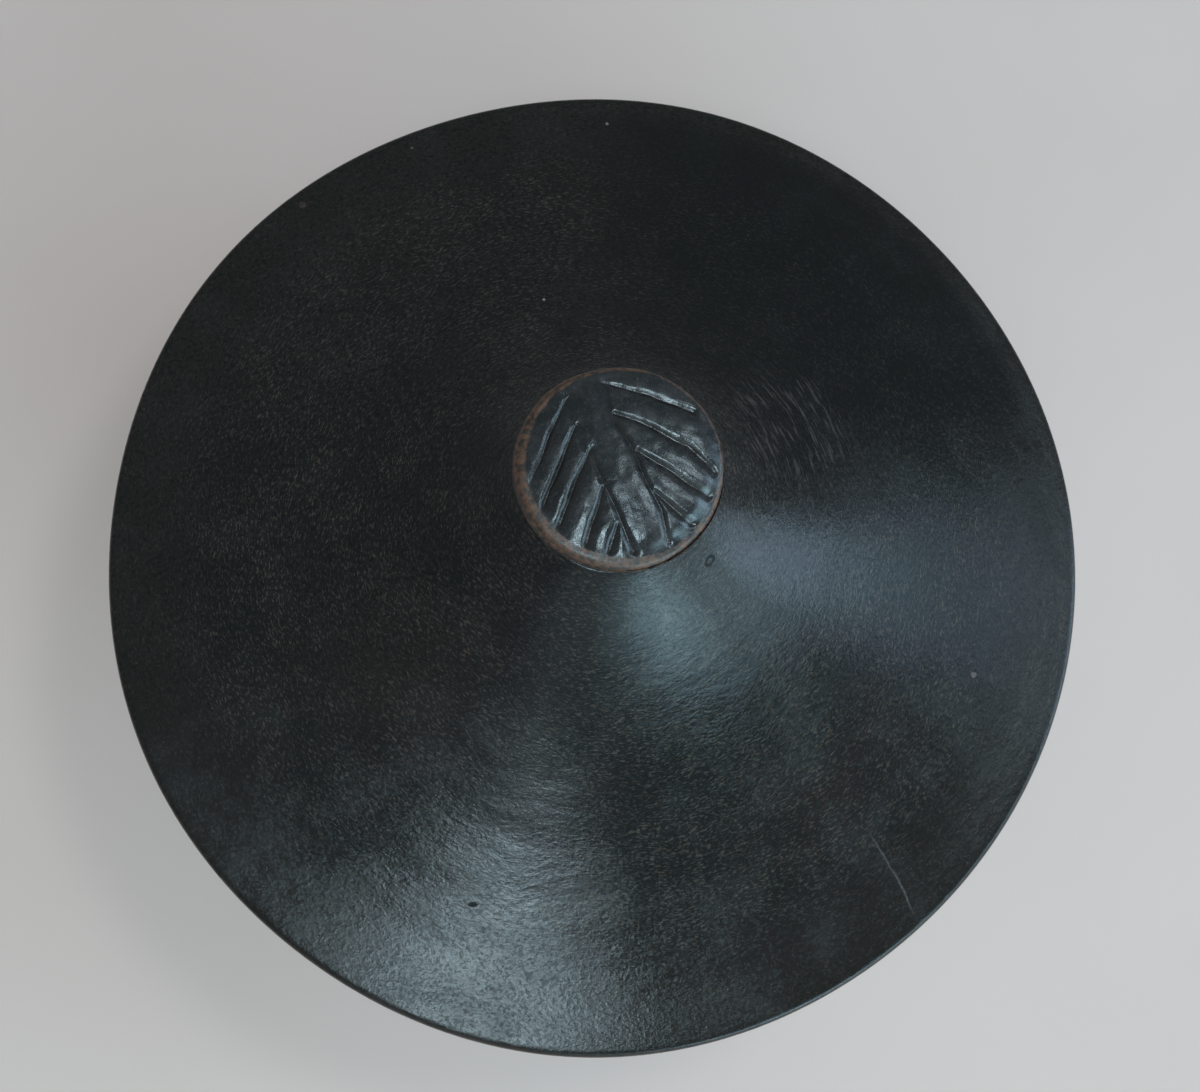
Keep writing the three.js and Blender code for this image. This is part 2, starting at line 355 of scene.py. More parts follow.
# Cuts in the top of the knob: points in mm, then how wide and how deep the cut is there
RIB_SIDES = (
    (
        (-7.3, 29.0, 1.0, 0.3), (-9.4, 12.6, 1.8, 0.6), (-7.9, 3.0, 2.4, 0.9),
        (-7.4, -6.9, 2.2, 0.9), (-7.3, -17.3, 2.8, 1.0), (-6.0, -31.0, 3.8, 1.4),
    ),
    (
        (6.4, 27.0, 1.2, 0.4), (3.9, 16.4, 2.0, 0.7), (4.2, 9.9, 2.6, 1.0), (5.1, -1.1, 2.6, 1.1),
        (5.4, -11.2, 2.2, 0.9), (6.2, -19.2, 2.6, 1.1), (4.5, -32.5, 3.2, 1.3),
    ),
)
LEFT_VEINS = (
    ((-7.25, 26.5, 1.8, 0.6), (-18.0, 16.2, 3.3, 1.3), (-29.3, 4.9, 2.4, 0.8)),
    ((-8.7, 16.0, 2.8, 1.1), (-18.0, 6.6, 4.3, 1.7), (-28.8, -4.6, 4.0, 1.4)),
    ((-7.8, 7.4, 3.0, 1.1), (-17.0, -2.3, 4.2, 1.7), (-27.2, -13.2, 4.0, 1.4)),
    ((-7.9, -5.3, 2.8, 1.1), (-15.0, -14.4, 4.1, 1.6), (-22.4, -24.0, 3.8, 1.4)),
    ((-8.7, -17.9, 2.6, 1.0), (-13.0, -23.7, 3.6, 1.4), (-17.0, -29.2, 3.4, 1.2)),
)
RIGHT_VEINS = (
    ((6.0, 26.8, 1.8, 0.6), (17.6, 17.9, 3.4, 1.3), (28.6, 7.8, 3.0, 1.1)),
    ((4.6, 15.6, 2.4, 1.0), (13.5, 7.6, 3.6, 1.4), (22.8, -2.7, 4.0, 1.5), (27.4, -13.6, 3.6, 1.2)),
    ((6.1, 1.3, 2.6, 1.0), (14.8, -9.8, 3.8, 1.4), (23.1, -19.9, 4.2, 1.4)),
    ((6.3, -12.8, 2.4, 1.0), (10.8, -20.3, 3.8, 1.4), (15.0, -27.2, 3.8, 1.3)),
)
# How much the cuts lean: above 0 the flank on a cut's left, as it was cut, is the wide one
LEAF_CUTS = ((RIB_SIDES, 0.0), (LEFT_VEINS, 0.30), (RIGHT_VEINS, -0.1))
# The square of the knob that the carving's noise covers
CARVED_SPREAD = 80.0


def along_cut(points, x, y):
    """Distance to a cut's line, which side it is on, and the cut's width and depth there."""
    best = np.full(x.shape, 1e9)
    side = np.zeros(x.shape)
    width = np.ones(x.shape)
    depth = np.zeros(x.shape)
    for (ax, ay, aw, ad), (bx, by, bw, bd) in zip(points, points[1:]):
        dx, dy = bx - ax, by - ay
        t = np.clip(((x - ax) * dx + (y - ay) * dy) / (dx * dx + dy * dy), 0, 1)
        px, py = x - ax - t * dx, y - ay - t * dy
        gap = np.hypot(px, py)
        near = gap < best
        best = np.where(near, gap, best)
        side = np.where(near, np.sign(dx * py - dy * px), side)
        width = np.where(near, aw + t * (bw - aw), width)
        depth = np.where(near, ad + t * (bd - ad), depth)
    return best, side, width, depth


def dome(x, y):
    """Height of the knob's plain top."""
    ball = (HEAD_TOP_RADIUS**2 + HEAD_DOME**2) / (2 * HEAD_DOME)
    return HEAD_EDGE_HEIGHT + HEAD_DOME - ball + np.sqrt(ball**2 - np.minimum(x**2 + y**2, ball**2))


def carving(x, y, radius):
    """How far the carved top lies above its plain dome, and how far in a cut a point is, 0 to 1."""
    u, v = x / CARVED_SPREAD + 0.5, y / CARVED_SPREAD + 0.5
    wobble = 0.45 * soft_noise(31, u, v, 16, 16)
    wx, wy = x + wobble, y + 0.45 * soft_noise(32, u, v, 16, 16)
    ragged = 0.10 * soft_noise(35, u, v, 60, 60)
    cut = np.zeros(x.shape)
    nearest = np.full(x.shape, 1e9)
    for cuts, lean in LEAF_CUTS:
        for points in cuts:
            gap, side, width, depth = along_cut(points, wx, wy)
            half = 0.62 * width * (1 + lean * side)
            wall = np.clip(1 - (gap + ragged) / half, 0, 1)
            cut = np.maximum(cut, depth * wall * (0.5 + 0.9 * wall - 0.4 * wall * wall))
            nearest = np.minimum(nearest, gap - half)
    # each lobe between the cuts is a little rounded
    pillow = 0.38 * (1 - np.exp(-np.maximum(nearest, 0) / 2.2)) - 0.38
    rough = 0.16 * soft_noise(33, u, v, 22, 22) + 0.09 * soft_noise(34, u, v, 52, 52)
    inside = 1 - smooth(radius, 28.5, 31.5)
    # the ends of the lobes are rubbed down, a little at the front and steeply at the front right
    around = np.arctan2(y, x)
    front = 0.5 + 0.5 * np.cos(around - math.radians(-118))
    front_right = np.clip(np.cos(around - math.radians(-60)), 0, 1) ** 3
    rubbed = (0.2 + 0.4 * front) * smooth(radius, 22, 33)
    rubbed += 2.2 * front_right * smooth(radius, 25.5, 32.5)
    lift = (pillow - cut) * inside - rubbed + rough * (1 - smooth(radius, 30.5, 33)) - 0.25
    return lift, smooth(cut, 0.35, 1.2) * inside


def head_skin():
    handle = handle_through(HEAD_RADIUS, HEAD_UNDER_RADIUS, HEAD_TOP_RADIUS)
    low = ((HEAD_UNDER_RADIUS, 0), (handle, 0))
    high = ((handle, HEAD_EDGE_HEIGHT), (HEAD_TOP_RADIUS, HEAD_EDGE_HEIGHT))
    side = bezier((*low, *high), 34)[::-1]
    top_radii = np.linspace(0.4, HEAD_TOP_RADIUS, 112)
    top = np.c_[top_radii, dome(top_radii, 0)]
    under = np.array([[24.0, 0], [14.0, 0], [3.0, 0]])
    profile = np.r_[top, side[1:], under]
    past_top = np.arange(len(profile))[:, None] - len(top)
    radius, height, angle = revolve(profile, HEAD_STEPS)
    plain = radius.copy()
    turn = angle / (2 * math.pi)
    # the edge was pinched and worn by hand
    lumps = 0.35 * soft_noise(41, turn, height / 20, 11, 3)
    lumps += 0.16 * soft_noise(42, turn, height / 20, 30, 6)
    radius = radius * (1 + (lumps - 0.3) * smooth(plain, 20, 34) / HEAD_RADIUS)
    shift = 1 - smooth(plain, HEAD_TOP_RADIUS - 1, HEAD_RADIUS)
    shift = np.where(past_top > 16, 0, shift)
    x, y = round_place(radius, angle)
    x = x + shift * CARVED_SHIFT[0]
    y = y + shift * CARVED_SHIFT[1]
    on_top = past_top < 12
    lift, cut = carving(x, y, plain)
    height = height + np.where(on_top, lift, 0)
    piece = skin("head_skin", x, y, height + HEAD_FOOT)
    worn = smooth(plain, HEAD_TOP_RADIUS - 1.8, HEAD_TOP_RADIUS + 0.6)
    worn = worn * (1 - smooth(past_top, 16, 26))
    # the left of the edge is worn most
    worn = worn * (0.80 + 0.20 * np.cos(angle - math.radians(190)))
    keep(piece, "worn", worn)
    keep(piece, "cut", np.where(on_top, cut, 0))
    return piece


# Dish


def dish_skin():
    outer = (
        (DISH_BASE_RADIUS, FOOT_HEIGHT),
        (DISH_BASE_RADIUS + DISH_TUCK, FOOT_HEIGHT),
        (DISH_RADIUS, DISH_HEIGHT - DISH_WALL / 2 - DISH_BELLY),
        (DISH_RADIUS, DISH_HEIGHT - DISH_WALL / 2),
    )
    outside = bezier(outer, 60)
    half = DISH_WALL / 2
    lip = arc((DISH_RADIUS - half, DISH_HEIGHT - half), half, 0, math.pi, 13)
    floor = FOOT_HEIGHT + DISH_FLOOR
    inside = inner_face(outer, DISH_WALL, 60)[::-1]
    inside = inside[inside[:, 1] > floor + 0.4]
    profile = np.r_[
        [[2, FOOT_HEIGHT], [30, FOOT_HEIGHT], [64, FOOT_HEIGHT]],
        outside,
        lip[1:],
        inside[1:],
        run((inside[-1][0] - 6, floor), (2, floor), 6),
    ]
    radius, height, angle = revolve(profile[::-1], DISH_STEPS)
    turn = angle / (2 * math.pi)
    wall = smooth(height, FOOT_HEIGHT + 2, 24)
    wall = wall * (1 - smooth(height, DISH_HEIGHT - 14, DISH_HEIGHT - 3))
    radius = radius + wall * (0.5 * soft_noise(51, turn, height / 90, 9, 3) - 0.45)
    radius = radius + wall * 0.08 * soft_noise(52, turn, height / 90, 44, 16)
    x, y = round_place(radius, angle)
    return skin("dish_skin", x, y, height)


def foot_skin():
    inner = FOOT_RADIUS - FOOT_WIDTH
    bevel = (FOOT_WIDTH - FOOT_TREAD) / 2
    corner_out = arc((FOOT_RADIUS - bevel, bevel), bevel, -math.pi / 2, 0, 7)
    corner_in = arc((inner + bevel, bevel), bevel, math.pi, 1.5 * math.pi, 7)
    profile = np.r_[
        corner_in,
        corner_out,
        [[FOOT_RADIUS, 6.5], [FOOT_RADIUS + 0.6, 9.0], [FOOT_RADIUS + 2.0, 10.6]],
        [[inner - 2.0, 10.6], [inner - 0.6, 9.0], [inner, 6.5]],
        corner_in[:1],
    ]
    radius, height, angle = revolve(profile[::-1], FOOT_STEPS)
    turn = angle / (2 * math.pi)
    radius = radius + 0.45 * soft_noise(61, turn, 0 * turn + 0.4, 16, 1) * smooth(height, 0, 3)
    x, y = round_place(radius, angle)
    return tube("foot_skin", x, y, height)


# Materials


class Shader:
    """A material's nodes, made with short calls that return sockets."""

    def __init__(self, name, **settings):
        self.material = bpy.data.materials.new(name)
        self.material.use_nodes = True
        self.tree = self.material.node_tree
        self.bsdf = self.tree.nodes["Principled BSDF"]
        for key, value in settings.items():
            self.bsdf.inputs[key].default_value = value

    def set(self, socket, value):
        if isinstance(value, bpy.types.NodeSocket):
            self.tree.links.new(value, socket)
        else:
            socket.default_value = value

    def node(self, kind, inputs, output=0, **settings):
        made = self.tree.nodes.new("ShaderNode" + kind)
        for key, value in settings.items():
            setattr(made, key, value)
        for key, value in inputs.items():
            self.set(made.inputs[key], value)
        return made.outputs[output]

    def math(self, operation, a, b=0.0):
        return self.node("Math", {0: a, 1: b}, operation=operation)

    def swing(self, value, size):
        """A value of 0 to 1 made to swing about 0, by so much from end to end."""
        return self.math("MULTIPLY", self.math("SUBTRACT", value, 0.5), size)

    def scaled(self, vector, factor):
        return self.node("VectorMath", {0: vector, 1: (factor,) * 3}, operation="MULTIPLY")

    def place(self):
        return self.node("TexCoord", {}, "Object")

    def xyz(self):
        made = self.tree.nodes.new("ShaderNodeSeparateXYZ")
        self.set(made.inputs[0], self.place())
        return made.outputs

    def join(self, x, y, z):
        return self.node("CombineXYZ", {0: x, 1: y, 2: z})

    def length(self, x, y):
        return self.node("VectorMath", {0: self.join(x, y, 0.0)}, 1, operation="LENGTH")

    def noise(self, vector, detail, rough):
        inputs = {"Vector": vector, "Scale": 1.0, "Detail": detail, "Roughness": rough}
        return self.node("TexNoise", inputs, "Fac")

    def lumps(self, per_metre, detail, rough=0.5):
        """Noise of so many cells per metre."""
        return self.noise(self.scaled(self.place(), per_metre), detail, rough)

    def ramp(self, value, low, high, start=0.0, end=1.0):
        """Eases from start, where the value is low, to end, where it is high."""
        inputs = {"Value": value, "From Min": low, "From Max": high, "To Min": start, "To Max": end}
        return self.node("MapRange", inputs, interpolation_type="SMOOTHSTEP")

    def mix(self, share, a, b):
        return self.node("Mix", {0: share, 6: colour(a), 7: colour(b)}, 2, data_type="RGBA")

    def relief(self, layers):
        """Bump from several heights, each 0 to 1 and so many mm tall."""
        normal = None
        for height, tall in layers:
            inputs = {"Height": height, "Distance": tall * MM, "Strength": 1.0}
            if normal:
                inputs["Normal"] = normal
            normal = self.node("Bump", inputs)
        self.set(self.bsdf.inputs["Normal"], normal)

    def round_about(self, along, across, lean, waver):
        """Places for a grain that runs round the object: cells per metre along and across it."""
        x, y, z = self.xyz()
        reach = self.math("ADD", self.length(x, y), self.math("MULTIPLY", z, lean))
        reach = self.math("ADD", reach, self.swing(self.lumps(24.0, 3.0), waver))
        parts = [self.math("MULTIPLY", v, k) for v, k in ((x, along), (y, along), (reach, across))]
        return self.join(*parts)

    def finish(self, base, roughness):
        self.set(self.bsdf.inputs["Base Color"], base)
        self.set(self.bsdf.inputs["Roughness"], roughness)
        return self.material


def colour(c):
    """A colour as a socket takes it, or the socket that gives one."""
    return (*c, 1.0) if isinstance(c, tuple) else c


# The burnished skin shines a little blue-green
SHEEN = (0.72, 0.92, 1.0, 1.0)
# Marks on the lid: place and size in mm, how strongly each shows, and its colour
SPOTS = (
    (-54.5, 165.0, 2.4, 0.75, (0.13, 0.10, 0.085)),
    (107.2, -96.0, 1.9, 0.6, (0.15, 0.13, 0.13)),
    (12.5, 87.7, 0.9, 0.9, (0.30, 0.29, 0.27)),
    (-7.1, 172.3, 1.0, 0.8, (0.22, 0.19, 0.17)),
    (67.1, 155.0, 1.0, 0.7, (0.22, 0.20, 0.19)),
)
# A hair crack runs from here to the edge, on that heading
CRACK_START = (47.9, -132.6)
CRACK_HEADING = math.radians(-80.7)
# Ovals in the lid's skin: place, heading of the long side in degrees, half the length and half
# the width. Two pits, the rim of a small dent near the knob, and a long scratch
PITS = ((-90.9, -104.2, -22, 1.5, 0.65), (108.4, -94.4, 0, 0.6, 0.6))
DENT = (23.8, -30.9, 28, 1.9, 0.95)
SCRATCH = (-86.5, -100.3, -36, 9.0, 0.28)
# Where the burnishing stone left its plainest strokes, whose ridges also get painted highlights
COMBED_PLACE = (76.0, 9.0)
# Which way the side of the lid with painted shade faces: that side is painted blacker
SHADED_SIDE_HEADING = math.radians(26)


def away_from(s, x, y, spot):
    """How far along X and Y a point lies from a spot given in mm, in metres."""
    return s.math("SUBTRACT", x, spot[0] * MM), s.math("SUBTRACT", y, spot[1] * MM)


def turned(s, x, y, angle):
    """The same two lengths along and across a heading."""
    c, d = math.cos(angle), math.sin(angle)
    along = s.math("ADD", s.math("MULTIPLY", x, c), s.math("MULTIPLY", y, d))
    across = s.math("SUBTRACT", s.math("MULTIPLY", y, c), s.math("MULTIPLY", x, d))
    return along, across


def crack_line(s, x, y):
    """1 on the hair crack, 0 away from it."""
    along, across = turned(s, *away_from(s, x, y, CRACK_START), CRACK_HEADING)
    across = s.math("ABSOLUTE", s.math("ADD", across, s.swing(s.lumps(90.0, 2.0), 0.0040)))
    return s.math("MULTIPLY", s.ramp(across, 0.00050, 0.00012), s.ramp(along, -0.004, 0.008))


def oval(s, x, y, mark):
    """0 at the middle of an oval mark and 1 on its edge."""
    mark_x, mark_y, long_side, half_length, half_width = mark
    along, across = turned(s, *away_from(s, x, y, (mark_x, mark_y)), math.radians(long_side))
    along = s.math("DIVIDE", along, half_length * MM)
    return s.length(along, s.math("DIVIDE", across, half_width * MM))


def lid_clay():
    s = Shader("lid_clay", **{"IOR": 1.5, "Specular IOR Level": 0.5, "Specular Tint": SHEEN})
    x, y, z = s.xyz()
    # the skin left by burnishing: a leathery grain, short strokes round the lid and broad flat dabs
    grain = s.lumps(720.0, 3.0, 0.66)
    strokes = s.noise(s.round_about(560.0, 1450.0, -0.6, 0.012), 3.0, 0.66)
    dabs = s.noise(s.round_about(60.0, 190.0, -0.6, 0.020), 3.0, 0.55)
    patches = s.lumps(11.0, 4.0, 0.55)
    blots = s.lumps(48.0, 4.0, 0.62)
    clouds = s.lumps(21.0, 3.0, 0.6)
    creases = s.noise(s.round_about(170.0, 400.0, -0.6, 0.030), 4.0, 0.62)
    base = s.mix(s.ramp(clouds, 0.36, 0.64), (0.0066, 0.0082, 0.0080), (0.0092, 0.0089, 0.0101))
    # the brim is browner, smoother and cleaner than the rest
    reach = s.length(x, y)
    brim = s.ramp(reach, 0.136, 0.166)
    brown = s.math("MAXIMUM", s.ramp(patches, 0.46, 0.70, 0.0, 0.7), s.math("MULTIPLY", brim, 0.6))
    base = s.mix(brown, base, (0.0140, 0.0116, 0.0098))
    base = s.mix(s.ramp(blots, 0.44, 0.72, 0.0, 0.5), base, (0.0140, 0.0160, 0.0165))
    # smoke stayed in the hollows of the grain; some raised strokes get a light tan that is partly
    # dust and partly painted glints
    base = s.mix(s.ramp(grain, 0.50, 0.38, 0.0, 0.9), base, (0.0014, 0.0024, 0.0026))
    dust_and_painted_glints = s.math("MULTIPLY", s.ramp(strokes, 0.52, 0.66), s.ramp(blots, 0.24, 0.62, 0.25, 1.0))
    dust_and_painted_glints = s.math("MULTIPLY", dust_and_painted_glints, s.math("SUBTRACT", 0.70, s.math("MULTIPLY", brim, 0.5)))
    base = s.mix(dust_and_painted_glints, base, (0.078, 0.071, 0.057))
    # light flecks, partly speckle in the clay and partly painted glints
    flecks = s.ramp(s.lumps(700.0, 4.0, 0.8), 0.59, 0.72, 0.0, 0.7)
    fleck_and_painted_glint_tone = s.mix(s.ramp(clouds, 0.45, 0.55), (0.060, 0.050, 0.036), (0.040, 0.047, 0.043))
    base = s.mix(flecks, base, fleck_and_painted_glint_tone)
    # the edge is worn brown where hands lift the lid
    edge = s.math("MULTIPLY", s.ramp(z, 0.0917, 0.0905), s.ramp(s.lumps(160.0, 3.0), 0.30, 0.62))
    base = s.mix(s.math("MULTIPLY", edge, 0.8), base, (0.060, 0.036, 0.024))
    # the painted shade and the marks below lie on the outside only
    outside = s.node("Attribute", {}, "Fac", attribute_name="outside")
    # painted shade: one side of the lid is painted blacker, where it reflects little light
    toward_shaded_side, _ = turned(s, x, y, SHADED_SIDE_HEADING)
    facing = s.math("ADD", s.math("DIVIDE", toward_shaded_side, reach), s.swing(patches, 0.4))
    painted_shade_side = s.math("MULTIPLY", s.ramp(facing, 0.66, 0.92, 0.0, 0.65), s.ramp(reach, 0.042, 0.072))
    base = s.mix(s.math("MULTIPLY", painted_shade_side, outside), base, (0.0028, 0.0034, 0.0036))
    crack = s.math("MULTIPLY", crack_line(s, x, y), outside)
    base = s.mix(s.math("MULTIPLY", crack, 0.6), base, (0.070, 0.068, 0.066))
    pits = s.ramp(s.math("ABSOLUTE", s.math("SUBTRACT", oval(s, x, y, DENT), 1.0)), 0.42, 0.20)
    for pit in PITS:
        pits = s.math("MAXIMUM", pits, s.ramp(oval(s, x, y, pit), 1.3, 0.8))
    pits = s.math("MULTIPLY", pits, outside)
    base = s.mix(pits, base, (0.002, 0.002, 0.002))
    scratch = s.math("MULTIPLY", s.ramp(oval(s, x, y, SCRATCH), 1.0, 0.4), outside)
    base = s.mix(s.math("MULTIPLY", scratch, 0.7), base, (0.10, 0.10, 0.10))
    for spot_x, spot_y, size, strength, tone in SPOTS:
        gap = s.length(*away_from(s, x, y, (spot_x, spot_y)))
        gap = s.math("ADD", gap, s.swing(grain, size * MM))
        spot = s.ramp(gap, size * 0.75 * MM, size * 0.35 * MM, 0.0, strength)
        base = s.mix(s.math("MULTIPLY", spot, outside), base, tone)
    # polish comes and goes over the lid, and the hollows of the grain have least of it
    roughness = s.ramp(patches, 0.30, 0.70, 0.12, 0.18)
    roughness = s.math("ADD", roughness, s.ramp(blots, 0.40, 0.70, -0.02, 0.06))
    roughness = s.math("ADD", roughness, s.ramp(grain, 0.54, 0.36, 0.0, 0.16))
    roughness = s.math("ADD", roughness, s.math("MULTIPLY", pits, 0.5))
    # to the right of the knob the strokes stand out as long fine lines, with painted highlights on
    # their ridges
    comb = s.noise(s.round_about(105.0, 980.0, -0.6, 0.008), 2.0, 0.5)
    combed = s.ramp(s.length(*away_from(s, x, y, COMBED_PLACE)), 0.030, 0.012)
    combed = s.math("MULTIPLY", combed, s.ramp(blots, 0.34, 0.50))
    combed = s.math("MULTIPLY", combed, outside)
    painted_ridge_highlights = s.math("MULTIPLY", s.ramp(comb, 0.53, 0.65, 0.0, 0.5), combed)
    base = s.mix(painted_ridge_highlights, base, (0.078, 0.076, 0.074))
    s.relief(
        (
            (dabs, 0.10),
            (creases, 0.13),
            (strokes, 0.050),
            (grain, 0.082),
            (s.math("MULTIPLY", comb, combed), 0.20),
            (s.math("SUBTRACT", 1.0, crack), 0.05),
            (s.math("SUBTRACT", 1.0, pits), 0.12),
            (s.math("SUBTRACT", 1.0, scratch), 0.05),
        )
    )
    return s.finish(base, roughness)


def knob_clay():
    s = Shader("knob_clay", **{"IOR": 1.5, "Specular IOR Level": 0.9, "Specular Tint": SHEEN})
    worn = s.node("Attribute", {}, "Fac", attribute_name="worn")
    cut = s.node("Attribute", {}, "Fac", attribute_name="cut")
    blots = s.lumps(150.0, 4.0, 0.6)
    grain = s.lumps(1300.0, 3.0, 0.7)
    base = s.mix(s.ramp(blots, 0.35, 0.70), (0.010, 0.013, 0.016), (0.026, 0.028, 0.031))
    base = s.mix(s.ramp(grain, 0.50, 0.38, 0.0, 0.8), base, (0.003, 0.003, 0.004))
    # bluish-grey flecks, partly speckle in the clay and partly painted sheen
    flecks = s.ramp(s.lumps(900.0, 4.0, 0.75), 0.54, 0.70, 0.0, 0.65)
    base = s.mix(flecks, base, (0.070, 0.072, 0.074))
    base = s.mix(s.math("MULTIPLY", cut, 0.8), base, (0.012, 0.0085, 0.0065))
    rub = s.math("ADD", worn, s.swing(s.lumps(300.0, 4.0, 0.65), 1.0))
    rub = s.math("MULTIPLY", s.ramp(rub, 0.42, 0.70), s.ramp(worn, 0.02, 0.25))
    rusty = s.ramp(s.lumps(520.0, 3.0, 0.6), 0.38, 0.64)
    rust = s.mix(rusty, (0.022, 0.012, 0.008), (0.105, 0.050, 0.024))
    base = s.mix(s.math("MULTIPLY", rub, 0.9), base, rust)
    roughness = s.ramp(blots, 0.35, 0.7, 0.16, 0.27)
    roughness = s.math("ADD", roughness, s.ramp(grain, 0.52, 0.38, 0.0, 0.14))
    roughness = s.math("ADD", roughness, s.math("MULTIPLY", rub, 0.20))
    coarse, fine = s.lumps(330.0, 3.0, 0.6), s.lumps(850.0, 3.0, 0.65)
    s.relief(((coarse, 0.09), (fine, 0.055), (grain, 0.030)))
    return s.finish(base, roughness)


def dish_clay():
    s = Shader("dish_clay", **{"IOR": 1.5, "Specular IOR Level": 0.5})
    strokes = s.noise(s.round_about(34.0, 330.0, 1.0, 0.012), 3.0, 0.55)
    fine_strokes = s.noise(s.round_about(95.0, 1250.0, 1.0, 0.006), 3.0, 0.6)
    patches = s.lumps(14.0, 4.0, 0.55)
    blots = s.lumps(45.0, 4.0, 0.6)
    base = s.mix(s.ramp(patches, 0.36, 0.66), (0.0090, 0.0092, 0.0094), (0.0175, 0.0128, 0.0100))
    base = s.mix(s.ramp(blots, 0.50, 0.72, 0.0, 0.6), base, (0.022, 0.019, 0.0165))
    flecks = s.ramp(s.lumps(900.0, 4.0, 0.75), 0.62, 0.74, 0.0, 0.5)
    base = s.mix(flecks, base, (0.055, 0.044, 0.034))
    roughness = s.ramp(patches, 0.30, 0.70, 0.36, 0.50)
    lumps, grain = s.lumps(170.0, 3.0, 0.6), s.lumps(1900.0, 3.0, 0.7)
    s.relief(((strokes, 0.22), (lumps, 0.12), (fine_strokes, 0.06), (grain, 0.02)))
    return s.finish(base, roughness)


def rough_clay(name, low, high, gloss):
    """Clay that was wiped or left as it was, not burnished."""
    s = Shader(name, **{"IOR": 1.5, "Specular IOR Level": 0.4})
    blots = s.lumps(60.0, 4.0, 0.6)
    base = s.mix(s.ramp(blots, 0.35, 0.68), low, high)
    flecks = s.ramp(s.lumps(800.0, 4.0, 0.75), 0.60, 0.74, 0.0, 0.6)
    base = s.mix(flecks, base, (0.070, 0.052, 0.038))
    wiping = s.noise(s.round_about(60.0, 520.0, 1.0, 0.008), 3.0, 0.6)
    lumps, grain = s.lumps(420.0, 4.0, 0.65), s.lumps(2200.0, 2.0)
    s.relief(((wiping, 0.20), (lumps, 0.16), (grain, 0.03)))
    return s.finish(base, s.ramp(blots, 0.3, 0.7, gloss, gloss + 0.12))


def floor_paint():
    s = Shader("floor_paint", **{"Specular IOR Level": 0.25})
    clouds = s.lumps(3.2, 5.0, 0.5)
    base = s.mix(s.ramp(clouds, 0.32, 0.70), (0.618, 0.576, 0.555), (0.652, 0.611, 0.592))
    return s.finish(base, 0.62)


# The pieces, each on its body

CLAYS = {
    "lid_clay": lid_clay(),
    "under_lid_clay": rough_clay(
        "under_lid_clay", (0.013, 0.012, 0.011), (0.024, 0.020, 0.017), 0.55
    ),
    "knob_clay": knob_clay(),
    "dish_clay": dish_clay(),
    "foot_clay": rough_clay("foot_clay", (0.018, 0.014, 0.011), (0.042, 0.028, 0.020), 0.62),
}
# How each piece is made, the body it rides on, the node it replaces, and its slot
PIECES = (
    (lid_skin, "lid", "lid_shell", "lid_clay"),
    (ring_skin, "lid", "lid_locating_ring", "under_lid_clay"),
    (neck_skin, "lid", "knob_neck", "lid_clay"),
    (head_skin, "lid", "knob_head", "knob_clay"),
    (dish_skin, "dish", "dish_bowl", "dish_clay"),
    (foot_skin, "dish", "dish_foot_ring", "foot_clay"),
)
for make, body, node, slot in PIECES:
    piece = make()
    piece.data.materials.append(CLAYS[slot])
    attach(piece, body)
    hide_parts(node)

# Floor, light and camera, in metres

FLOOR_REACH = 4.0


def floor():
    low, high = -FLOOR_REACH, FLOOR_REACH
    corners = [(low, low, 0), (high, low, 0), (high, high, 0), (low, high, 0)]
    piece = add_mesh("floor", corners, [(0, 1, 2, 3)])
    piece.data.materials.append(floor_paint())


def heading(azimuth, elevation):
    """The way out from the dish: degrees round from +X, and degrees above the floor."""
    a, e = math.radians(azimuth), math.radians(elevation)
    return Vector((math.cos(a) * math.cos(e), math.sin(a) * math.cos(e), math.sin(e)))


# The lamps stand this far from a point in the middle of the dish
LAMP_DISTANCE = 3.4
LIT_POINT = Vector((0, 0, 0.1))
# A window is two lamps, one inside the other, so that it fades towards its edge: the size of each
# and its share of the glow
SOFT_STEPS = ((1.2, 0.5), (0.75, 0.5))
# The lamps shine into a cone this wide. A lamp of the same power is brighter along a narrower cone,
# by this gain, and window() takes it out
CONE = math.radians(90)
CONE_GAIN = math.tan(CONE / 2) / (math.tan(CONE / 2) - CONE / 2)


def window(name, azimuth, elevation, wide, high, glow, tint):
    """A window at that heading, so many degrees wide and high from the dish, with that glow."""
    out = heading(azimuth, elevation)
    for step, (size, share) in enumerate(SOFT_STEPS):
        lamp = bpy.data.lights.new(f"{name}.{step}", "AREA")
        lamp.shape = "ELLIPSE"
        lamp.size = 2 * LAMP_DISTANCE * math.tan(math.radians(wide * size / 2))
        lamp.size_y = 2 * LAMP_DISTANCE * math.tan(math.radians(high * size / 2))
        lamp.spread = CONE
        area = lamp.size * lamp.size_y * math.pi / 4
        lamp.energy = share * glow * math.pi * area / CONE_GAIN
        lamp.color = tint
        holder = bpy.data.objects.new(f"{name}.{step}", lamp)
        holder.location = LIT_POINT + out * LAMP_DISTANCE
        holder.rotation_euler = out.to_track_quat("Z", "Y").to_euler()
        bpy.context.scene.collection.objects.link(holder)


# The light the room gives from all around
ROOM_TONE = (1.0, 0.985, 0.975, 1)
ROOM_GLOW = 0.18
DAYLIGHT = (0.94, 0.98, 1.0)
BLUE_DAYLIGHT = (0.74, 0.93, 1.0)
SKY_BLUE = (0.70, 0.83, 1.0)
ROOM_LIGHT = (0.97, 0.975, 0.97)
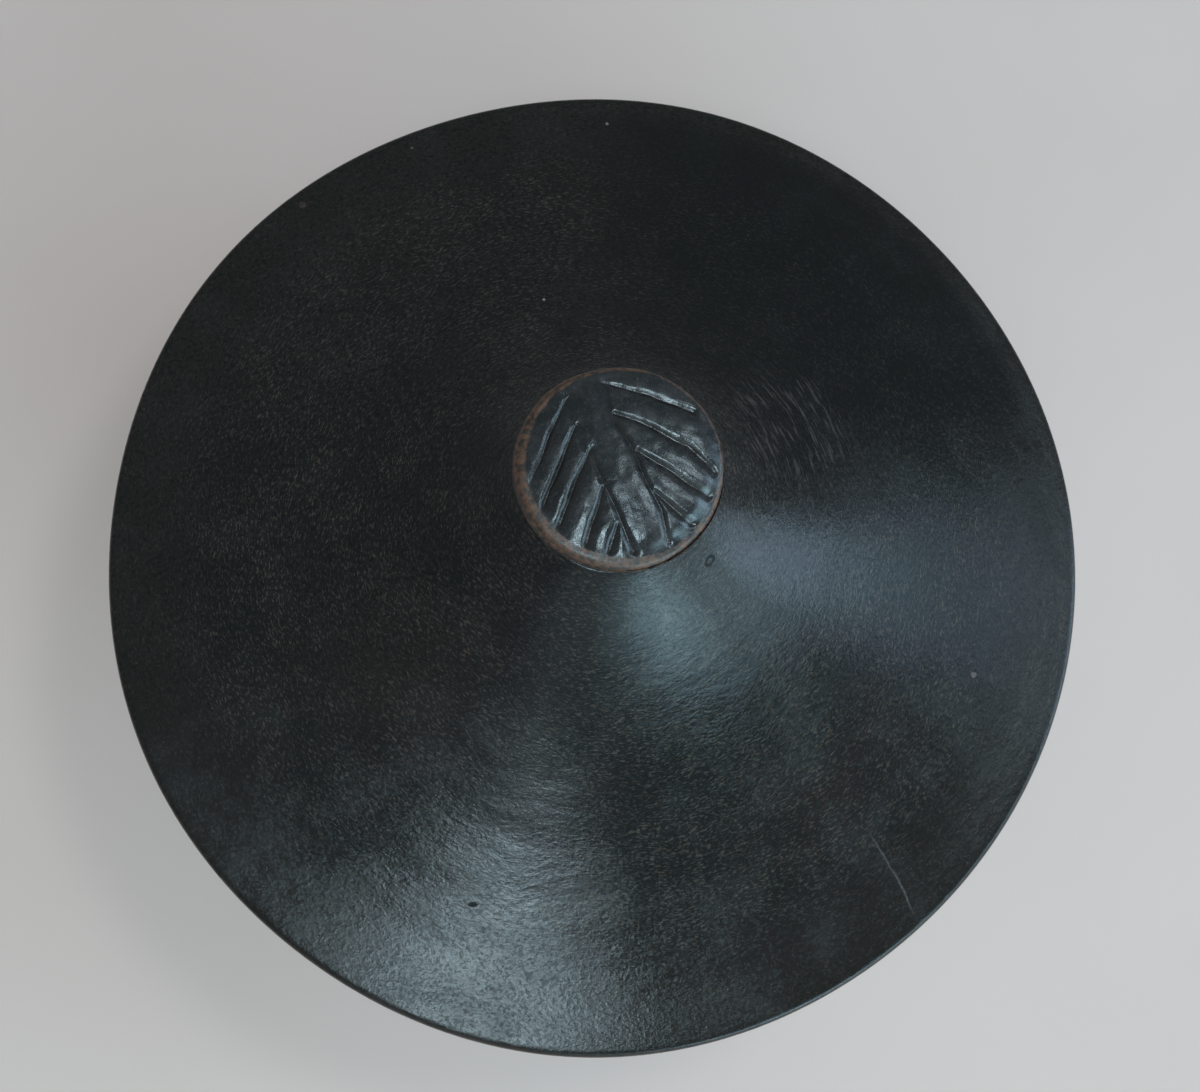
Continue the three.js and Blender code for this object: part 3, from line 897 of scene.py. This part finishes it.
# Name, azimuth, elevation, degrees wide and high, glow, tint
WINDOWS = (
    ("front_window_high", -127, 80, 12, 16, 8.0, DAYLIGHT),
    ("front_window", -127, 68, 11, 16, 21.5, DAYLIGHT),
    ("front_window_low", -128, 53, 16, 16, 1.4, DAYLIGHT),
    ("front_sky", -130, 20, 34, 32, 0.8, DAYLIGHT),
    ("right_window_1", -101, 18, 20, 26, 2.6, BLUE_DAYLIGHT),
    ("right_window_2", -84, 18, 20, 26, 6.8, BLUE_DAYLIGHT),
    ("right_window_3", -68, 18, 20, 26, 6.8, BLUE_DAYLIGHT),
    ("right_window_4", -52, 18, 20, 26, 3.1, BLUE_DAYLIGHT),
    ("right_window_5", -36, 15, 20, 28, 3.5, BLUE_DAYLIGHT),
    ("right_window_6", -19, 15, 20, 28, 6.0, SKY_BLUE),
    ("right_window_high", -12, 38, 20, 24, 2.9, SKY_BLUE),
    ("overhead", 0, 65, 15, 14, 9.0, ROOM_LIGHT),
    ("overhead_side", 36, 56, 36, 14, 0.2, ROOM_LIGHT),
)


def light():
    for values in WINDOWS:
        window(*values)
    world = bpy.data.worlds.new("room")
    world.use_nodes = True
    room = world.node_tree.nodes["Background"]
    room.inputs["Color"].default_value = ROOM_TONE
    room.inputs["Strength"].default_value = ROOM_GLOW
    bpy.context.scene.world = world


# Where the camera stands, in degrees round from +X and above the floor, and how it is rolled
CAMERA_AZIMUTH = -126.6
CAMERA_ELEVATION = 75
CAMERA_ROLL = math.radians(14.67)
# The point it aims at, in mm, and how far it is from there
CAMERA_AIM = (0.83, 0.51, LID_RISE)
CAMERA_DISTANCE = 0.720
FOCAL_LENGTH = 58.42
SENSOR_WIDTH = 36


def camera():
    back = heading(CAMERA_AZIMUTH, CAMERA_ELEVATION)
    level = heading(CAMERA_AZIMUTH + 90, 0)
    rise = back.cross(level)
    right = level * math.cos(CAMERA_ROLL) + rise * math.sin(CAMERA_ROLL)
    up = rise * math.cos(CAMERA_ROLL) - level * math.sin(CAMERA_ROLL)
    eye = Vector(CAMERA_AIM) * MM + back * CAMERA_DISTANCE
    lens = bpy.data.cameras.new("camera")
    lens.sensor_fit = "HORIZONTAL"
    lens.sensor_width = SENSOR_WIDTH
    lens.lens = FOCAL_LENGTH
    holder = bpy.data.objects.new("camera", lens)
    turn = Matrix((right, up, back)).transposed().to_4x4()
    holder.matrix_world = Matrix.Translation(eye) @ turn
    bpy.context.scene.collection.objects.link(holder)
    bpy.context.scene.camera = holder


floor()
light()
camera()
bpy.context.scene.view_settings.view_transform = "Standard"
